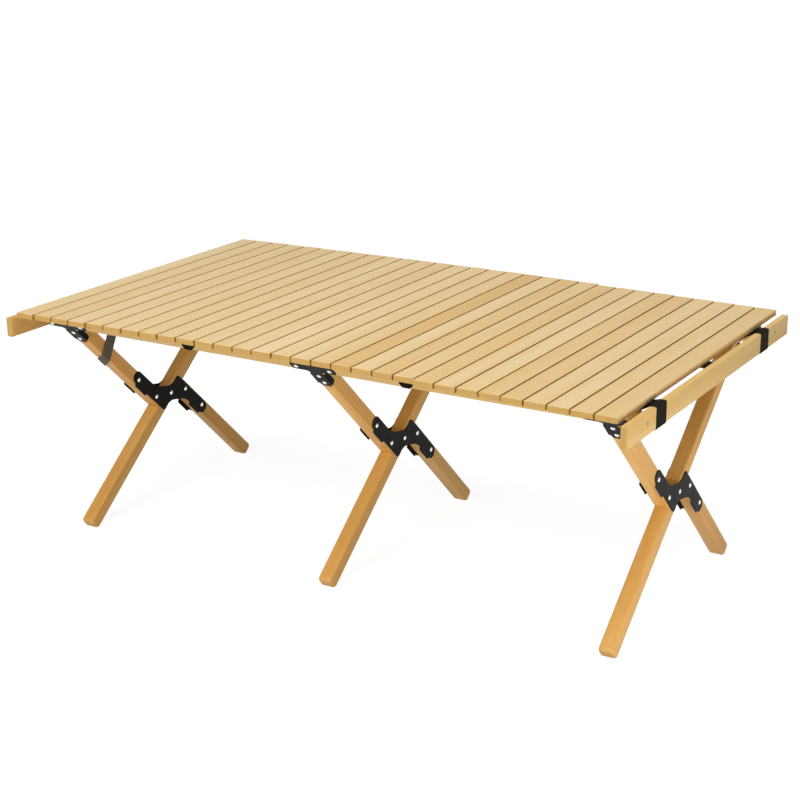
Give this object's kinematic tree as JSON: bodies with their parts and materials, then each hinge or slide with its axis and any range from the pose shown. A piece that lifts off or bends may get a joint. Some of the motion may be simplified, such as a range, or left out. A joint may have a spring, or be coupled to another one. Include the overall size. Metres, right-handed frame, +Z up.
{
  "type": "roll top camp table",
  "caption": "Low roll-top camp table: a slatted wooden top on webbing lies on folding X-frame legs with riveted black steel plates and is kept by pinned end rails.",
  "frame": {"origin": "on the floor under the middle of the table", "axes": "+X along the table to the right end, +Y to the back, +Z up"},
  "size_m": [1.2386, 0.713, 0.45],
  "materials": {
    "slat_wood": "clear satin varnish",
    "leg_wood": "clear satin varnish",
    "black_sheet": "satin black",
    "rivet_steel": "bright",
    "black_webbing": "woven",
    "grey_strap": "woven"
  },
  "bodies": {
    "far_frame": {"long_leg_left": "leg_wood", "long_leg_middle": "leg_wood", "long_leg_right": "leg_wood", "far_rail": "leg_wood", "far_brackets": "black_sheet", "far_rivets": "rivet_steel"},
    "near_frame": {"upper_leg_left": "leg_wood", "upper_leg_middle": "leg_wood", "upper_leg_right": "leg_wood", "lower_leg_left": "leg_wood", "lower_leg_middle": "leg_wood", "lower_leg_right": "leg_wood", "hub_plates_left": "black_sheet", "hub_plates_middle": "black_sheet", "hub_plates_right": "black_sheet", "hub_rivets": "rivet_steel", "pivot_pins": "rivet_steel", "near_rail": "leg_wood", "near_brackets": "black_sheet", "near_rivets": "rivet_steel", "anchor_strap": "grey_strap"},
    "slat_01": {"slat_01": "slat_wood", "end_rail_left": "slat_wood", "end_pins_left": "rivet_steel", "strap_loops_left": "black_webbing"},
    "slat_02": {"slat_02": "slat_wood"},
    "slat_03": {"slat_03": "slat_wood"},
    "slat_04": {"slat_04": "slat_wood"},
    "slat_05": {"slat_05": "slat_wood"},
    "slat_06": {"slat_06": "slat_wood"},
    "slat_07": {"slat_07": "slat_wood"},
    "slat_08": {"slat_08": "slat_wood"},
    "slat_09": {"slat_09": "slat_wood"},
    "slat_10": {"slat_10": "slat_wood", "keeper_tabs_left": "black_webbing"},
    "slat_11": {"slat_11": "slat_wood"},
    "slat_12": {"slat_12": "slat_wood"},
    "slat_13": {"slat_13": "slat_wood"},
    "slat_14": {"slat_14": "slat_wood"},
    "slat_15": {"slat_15": "slat_wood", "webbing": "black_webbing"},
    "slat_16": {"slat_16": "slat_wood"},
    "slat_17": {"slat_17": "slat_wood"},
    "slat_18": {"slat_18": "slat_wood"},
    "slat_19": {"slat_19": "slat_wood"},
    "slat_20": {"slat_20": "slat_wood"},
    "slat_21": {"slat_21": "slat_wood", "keeper_tabs_right": "black_webbing"},
    "slat_22": {"slat_22": "slat_wood"},
    "slat_23": {"slat_23": "slat_wood"},
    "slat_24": {"slat_24": "slat_wood"},
    "slat_25": {"slat_25": "slat_wood"},
    "slat_26": {"slat_26": "slat_wood"},
    "slat_27": {"slat_27": "slat_wood"},
    "slat_28": {"slat_28": "slat_wood"},
    "slat_29": {"slat_29": "slat_wood"},
    "slat_30": {"slat_30": "slat_wood", "end_rail_right": "slat_wood", "end_pins_right": "rivet_steel", "strap_loops_right": "black_webbing"}
  },
  "joints": [
    {"name": "frame_fold", "type": "hinge", "parent": "far_frame", "child": "near_frame", "pos_m": [0, 0, 0.208], "axis": [-1, 0, 0], "range_deg": [0, 96]},
    {"name": "top_lift", "type": "slide", "parent": "far_frame", "child": "slat_15", "axis": [0, 0, 1], "range_m": [0, 0.507]},
    {"name": "roll_16", "type": "hinge", "parent": "slat_15", "child": "slat_16", "pos_m": [0, 0, 0.44], "axis": [0, -1, 0], "range_deg": [0, 11]},
    {"name": "roll_17", "type": "hinge", "parent": "slat_16", "child": "slat_17", "pos_m": [0.04, 0, 0.44], "axis": [0, -1, 0], "range_deg": [0, 11]},
    {"name": "roll_18", "type": "hinge", "parent": "slat_17", "child": "slat_18", "pos_m": [0.08, 0, 0.44], "axis": [0, -1, 0], "range_deg": [0, 11]},
    {"name": "roll_19", "type": "hinge", "parent": "slat_18", "child": "slat_19", "pos_m": [0.12, 0, 0.44], "axis": [0, -1, 0], "range_deg": [0, 11]},
    {"name": "roll_20", "type": "hinge", "parent": "slat_19", "child": "slat_20", "pos_m": [0.16, 0, 0.44], "axis": [0, -1, 0], "range_deg": [0, 11]},
    {"name": "roll_21", "type": "hinge", "parent": "slat_20", "child": "slat_21", "pos_m": [0.2, 0, 0.44], "axis": [0, -1, 0], "range_deg": [0, 11]},
    {"name": "roll_22", "type": "hinge", "parent": "slat_21", "child": "slat_22", "pos_m": [0.24, 0, 0.44], "axis": [0, -1, 0], "range_deg": [0, 11]},
    {"name": "roll_23", "type": "hinge", "parent": "slat_22", "child": "slat_23", "pos_m": [0.28, 0, 0.44], "axis": [0, -1, 0], "range_deg": [0, 11]},
    {"name": "roll_24", "type": "hinge", "parent": "slat_23", "child": "slat_24", "pos_m": [0.32, 0, 0.44], "axis": [0, -1, 0], "range_deg": [0, 11]},
    {"name": "roll_25", "type": "hinge", "parent": "slat_24", "child": "slat_25", "pos_m": [0.36, 0, 0.44], "axis": [0, -1, 0], "range_deg": [0, 11]},
    {"name": "roll_26", "type": "hinge", "parent": "slat_25", "child": "slat_26", "pos_m": [0.4, 0, 0.44], "axis": [0, -1, 0], "range_deg": [0, 11]},
    {"name": "roll_27", "type": "hinge", "parent": "slat_26", "child": "slat_27", "pos_m": [0.44, 0, 0.44], "axis": [0, -1, 0], "range_deg": [0, 11]},
    {"name": "roll_28", "type": "hinge", "parent": "slat_27", "child": "slat_28", "pos_m": [0.48, 0, 0.44], "axis": [0, -1, 0], "range_deg": [0, 11]},
    {"name": "roll_29", "type": "hinge", "parent": "slat_28", "child": "slat_29", "pos_m": [0.52, 0, 0.44], "axis": [0, -1, 0], "range_deg": [0, 11]},
    {"name": "roll_30", "type": "hinge", "parent": "slat_29", "child": "slat_30", "pos_m": [0.56, 0, 0.44], "axis": [0, -1, 0], "range_deg": [0, 11]},
    {"name": "roll_14", "type": "hinge", "parent": "slat_15", "child": "slat_14", "pos_m": [-0.04, 0, 0.44], "axis": [0, 1, 0], "range_deg": [0, 11]},
    {"name": "roll_13", "type": "hinge", "parent": "slat_14", "child": "slat_13", "pos_m": [-0.08, 0, 0.44], "axis": [0, 1, 0], "range_deg": [0, 11]},
    {"name": "roll_12", "type": "hinge", "parent": "slat_13", "child": "slat_12", "pos_m": [-0.12, 0, 0.44], "axis": [0, 1, 0], "range_deg": [0, 11]},
    {"name": "roll_11", "type": "hinge", "parent": "slat_12", "child": "slat_11", "pos_m": [-0.16, 0, 0.44], "axis": [0, 1, 0], "range_deg": [0, 11]},
    {"name": "roll_10", "type": "hinge", "parent": "slat_11", "child": "slat_10", "pos_m": [-0.2, 0, 0.44], "axis": [0, 1, 0], "range_deg": [0, 11]},
    {"name": "roll_09", "type": "hinge", "parent": "slat_10", "child": "slat_09", "pos_m": [-0.24, 0, 0.44], "axis": [0, 1, 0], "range_deg": [0, 11]},
    {"name": "roll_08", "type": "hinge", "parent": "slat_09", "child": "slat_08", "pos_m": [-0.28, 0, 0.44], "axis": [0, 1, 0], "range_deg": [0, 11]},
    {"name": "roll_07", "type": "hinge", "parent": "slat_08", "child": "slat_07", "pos_m": [-0.32, 0, 0.44], "axis": [0, 1, 0], "range_deg": [0, 11]},
    {"name": "roll_06", "type": "hinge", "parent": "slat_07", "child": "slat_06", "pos_m": [-0.36, 0, 0.44], "axis": [0, 1, 0], "range_deg": [0, 11]},
    {"name": "roll_05", "type": "hinge", "parent": "slat_06", "child": "slat_05", "pos_m": [-0.4, 0, 0.44], "axis": [0, 1, 0], "range_deg": [0, 11]},
    {"name": "roll_04", "type": "hinge", "parent": "slat_05", "child": "slat_04", "pos_m": [-0.44, 0, 0.44], "axis": [0, 1, 0], "range_deg": [0, 11]},
    {"name": "roll_03", "type": "hinge", "parent": "slat_04", "child": "slat_03", "pos_m": [-0.48, 0, 0.44], "axis": [0, 1, 0], "range_deg": [0, 11]},
    {"name": "roll_02", "type": "hinge", "parent": "slat_03", "child": "slat_02", "pos_m": [-0.52, 0, 0.44], "axis": [0, 1, 0], "range_deg": [0, 11]},
    {"name": "roll_01", "type": "hinge", "parent": "slat_02", "child": "slat_01", "pos_m": [-0.56, 0, 0.44], "axis": [0, 1, 0], "range_deg": [0, 11]}
  ],
  "couplings": [
    {"joint": "top_lift", "follows": "frame_fold", "m_per_rad": 0.3}
  ]
}
